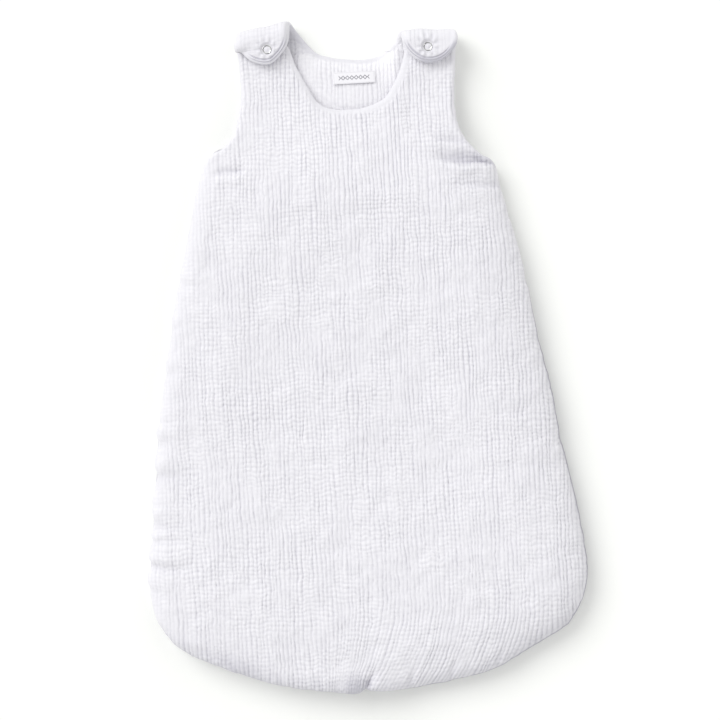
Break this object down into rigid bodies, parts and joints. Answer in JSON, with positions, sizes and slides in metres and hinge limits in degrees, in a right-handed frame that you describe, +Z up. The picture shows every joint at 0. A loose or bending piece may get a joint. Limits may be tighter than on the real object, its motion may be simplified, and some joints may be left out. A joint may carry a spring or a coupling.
{
  "type": "baby sleeping bag",
  "caption": "Sleeveless padded baby sleeping bag of crinkled muslin, closed at the shoulders by snapped straps and down one side by a zip.",
  "frame": {"origin": "middle of the bag's outline, on the surface that its back lies on", "axes": "+Y towards the head end, +Z up out of the front, +X to the sewn side; the zip is at -X"},
  "size_m": [0.459, 0.6998, 0.048],
  "materials": {
    "muslin": "white cotton double gauze, crinkled into fine lengthwise pleats",
    "wadding": "polyester fibre wadding",
    "lining": "white cotton gauze lining",
    "zip_tape": "white woven polyester tape",
    "zip_nylon": "white nylon coil",
    "snap_metal": "nickel plated",
    "slider_paint": "white enamelled zinc",
    "label": "woven satin label"
  },
  "bodies": {
    "bag": {"front_outer_shell": "muslin", "front_wadding": "wadding", "front_lining": "lining", "back_outer_shell": "muslin", "back_wadding": "wadding", "back_lining": "lining", "left_snap_stud": "snap_metal", "left_snap_backing_ring": "snap_metal", "right_snap_stud": "snap_metal", "right_snap_backing_ring": "snap_metal", "zip_tape_front": "zip_tape", "zip_tape_back": "zip_tape", "zip_coil_front": "zip_nylon", "zip_coil_back": "zip_nylon", "zip_top_stop_front": "zip_nylon", "zip_top_stop_back": "zip_nylon", "zip_bottom_stop": "zip_nylon", "neck_label": "label"},
    "left_flap": {"left_flap_outer_shell": "muslin", "left_flap_wadding": "wadding", "left_flap_lining": "lining", "left_snap_cap_ring": "snap_metal", "left_snap_socket": "snap_metal"},
    "right_flap": {"right_flap_outer_shell": "muslin", "right_flap_wadding": "wadding", "right_flap_lining": "lining", "right_snap_cap_ring": "snap_metal", "right_snap_socket": "snap_metal"},
    "zip_slider": {"zip_slider_body": "slider_paint", "zip_pull_pin": "snap_metal"},
    "zip_pull": {"zip_pull_tab": "slider_paint"}
  },
  "joints": [
    {"name": "left_flap_hinge", "type": "hinge", "parent": "bag", "child": "left_flap", "pos_m": [-0.086, 0.35, 0.0175], "axis": [-1, 0, 0], "range_deg": [0, 165]},
    {"name": "right_flap_hinge", "type": "hinge", "parent": "bag", "child": "right_flap", "pos_m": [0.086, 0.35, 0.0175], "axis": [-1, 0, 0], "range_deg": [0, 165]},
    {"name": "zip_slide", "type": "slide", "parent": "bag", "child": "zip_slider", "axis": [-0.2098, -0.9778, 0], "range_m": [0, 0.245]},
    {"name": "zip_pull_hinge", "type": "hinge", "parent": "zip_slider", "child": "zip_pull", "pos_m": [-0.15747, 0.1651, 0.018], "axis": [0, 0, -1], "range_deg": [0, 165]}
  ]
}
